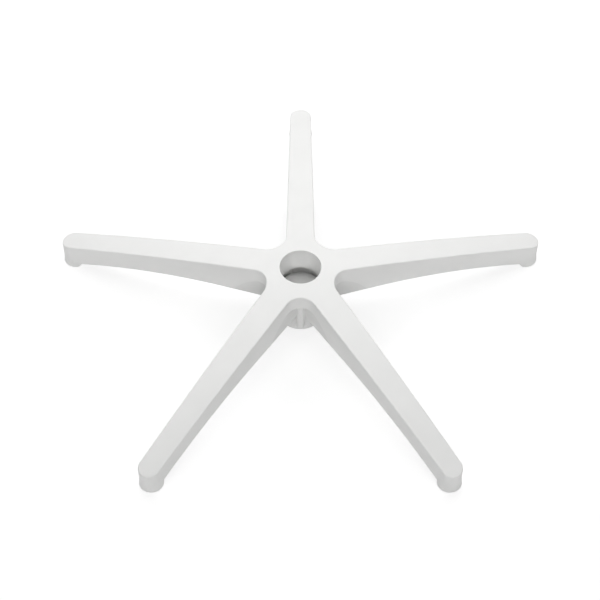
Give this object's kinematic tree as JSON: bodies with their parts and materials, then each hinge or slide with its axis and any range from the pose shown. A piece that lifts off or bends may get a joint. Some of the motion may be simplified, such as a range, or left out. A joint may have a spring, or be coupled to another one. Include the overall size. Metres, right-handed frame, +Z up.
{
  "type": "office chair five star base",
  "caption": "One-piece moulded star-shaped chair base with arched arms, a tapered column socket in the hub, a ribbed underside and caster sockets at the arm tips.",
  "frame": {"origin": "on the hub's axis, in the plane that the caster bosses stand on", "axes": "+Z up along the hub's axis, +Y along one arm, +X to the right of that arm"},
  "size_m": [0.61, 0.5816, 0.105],
  "materials": {
    "white_nylon": "satin moulded nylon with a fine even grain"
  },
  "bodies": {
    "root": {"star_base": "white_nylon"}
  },
  "joints": []
}
